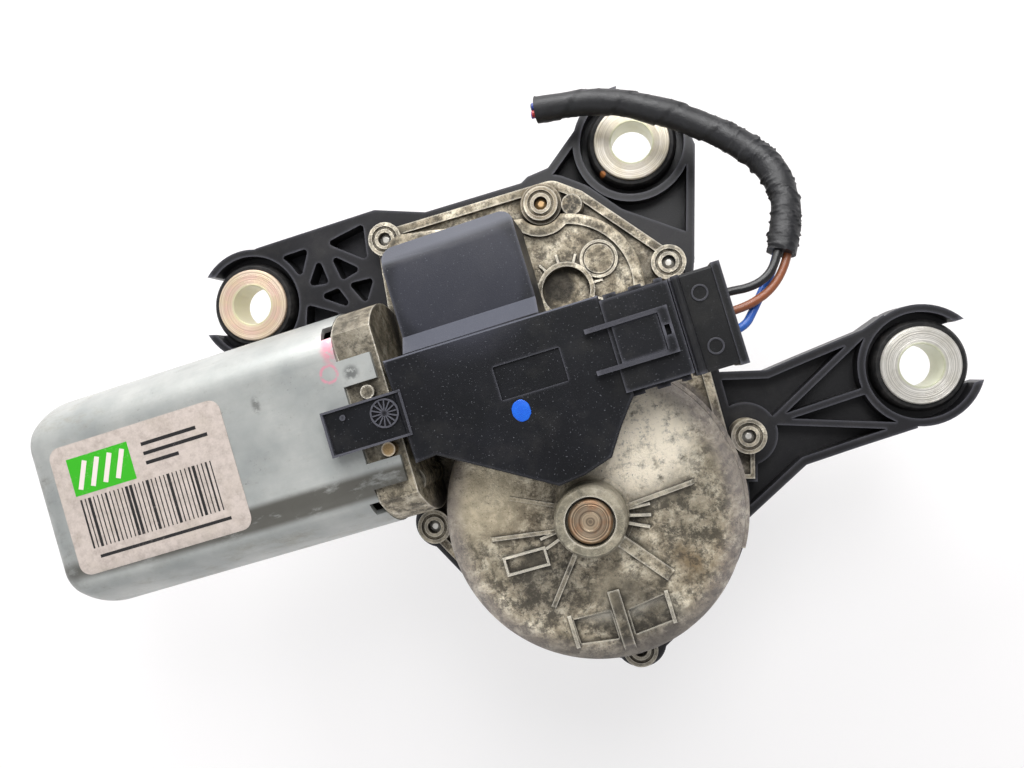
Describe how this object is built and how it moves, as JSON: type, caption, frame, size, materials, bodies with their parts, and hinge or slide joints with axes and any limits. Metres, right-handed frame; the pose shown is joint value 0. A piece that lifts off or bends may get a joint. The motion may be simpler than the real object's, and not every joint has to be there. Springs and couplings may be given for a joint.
{
  "type": "wiper motor",
  "caption": "Geared electric motor with a moulded three-point bracket, oscillating output shaft, electronics cover and plugged-in harness, for driving a rear wiper arm.",
  "frame": {"origin": "axis of the output shaft, in the plane of the lower ends of the three mounting sleeves", "axes": "-Z along the output shaft towards the wiper arm; +X away from the motor can, along the motor's axis; +Y from the worm wheel towards the output shaft"},
  "size_m": [0.2389, 0.1532, 0.1093],
  "materials": {
    "cast_aluminium": "as cast, slightly rough",
    "gasket_paper": "matt fibre",
    "bracket_plastic": "fine moulded grain",
    "grommet_rubber": "matt",
    "sleeve_steel": "pressed, plated",
    "screw_steel": "plated",
    "can_steel": "galvanised sheet",
    "ferrite": "matt ceramic",
    "bearing_bronze": "sintered",
    "nylon_white": "smooth",
    "holder_plastic": "smooth",
    "carbon": "matt",
    "spring_steel": "bright",
    "copper_wire": "enamelled copper",
    "axle_copper": "turned end",
    "seal_rubber": "smooth",
    "cover_plastic": "fine grain",
    "board_green": "lacquered",
    "contact_brass": "plain",
    "plug_plastic": "fine grain",
    "wire_black": "smooth insulation",
    "wire_brown": "smooth insulation",
    "wire_blue": "smooth insulation",
    "harness_tape": "wound fabric tape",
    "shaft_steel": "ground",
    "lamination_steel": "stacked sheet",
    "commutator_copper": "turned",
    "lever_steel": "stamped"
  },
  "bodies": {
    "motor_body": {"gear_housing": "cast_aluminium", "gearbox_gasket": "gasket_paper", "mounting_bracket": "bracket_plastic", "bearing_tube": "cast_aluminium", "grommet_left": "grommet_rubber", "grommet_top": "grommet_rubber", "grommet_right": "grommet_rubber", "sleeve_left": "sleeve_steel", "sleeve_top": "sleeve_steel", "sleeve_right": "sleeve_steel", "housing_screws": "screw_steel", "motor_can": "can_steel", "magnets": "ferrite", "shaft_bearings": "bearing_bronze", "thrust_pad": "nylon_white", "brush_holder": "holder_plastic", "carbon_brushes": "carbon", "brush_springs": "spring_steel", "choke_coils": "copper_wire", "wheel_axle": "axle_copper", "shaft_bushes": "bearing_bronze", "shaft_seal": "seal_rubber", "electronics_cover": "cover_plastic", "circuit_board": "board_green", "socket_terminals": "contact_brass", "plug_housing": "plug_plastic", "plug_terminals": "contact_brass", "plug_lock_bar": "plug_plastic", "wire_black": "wire_black", "wire_brown": "wire_brown", "wire_blue": "wire_blue", "harness_sleeve": "harness_tape"},
    "armature": {"armature_shaft": "shaft_steel", "lamination_stack": "lamination_steel", "windings": "copper_wire", "commutator": "commutator_copper"},
    "worm_wheel_unit": {"worm_wheel": "nylon_white", "crank_pin": "shaft_steel"},
    "output": {"output_shaft": "shaft_steel", "output_lever": "lever_steel", "lever_pin": "shaft_steel", "shaft_clip": "spring_steel"},
    "rod": {"connecting_rod": "lever_steel"}
  },
  "joints": [
    {"name": "armature_spin", "type": "hinge", "parent": "motor_body", "child": "armature", "pos_m": [0, -0.0168, 0.025], "axis": [1, 0, 0], "continuous": true},
    {"name": "worm_wheel_spin", "type": "hinge", "parent": "motor_body", "child": "worm_wheel_unit", "pos_m": [-0.0093, -0.0555, 0.025], "axis": [0, 0, 1], "continuous": true},
    {"name": "output_sweep", "type": "hinge", "parent": "motor_body", "child": "output", "pos_m": [0, 0, 0], "axis": [0, 0, 1], "range_deg": [0, 94]},
    {"name": "rod_swing", "type": "hinge", "parent": "output", "child": "rod", "pos_m": [-0.00718, 0.01084, 0.0156], "axis": [0, 0, 1], "range_deg": [-94, 0]}
  ],
  "couplings": [
    {"joint": "worm_wheel_spin", "follows": "armature_spin", "ratio": 0.018868},
    {"joint": "rod_swing", "follows": "output_sweep", "ratio": -1}
  ]
}
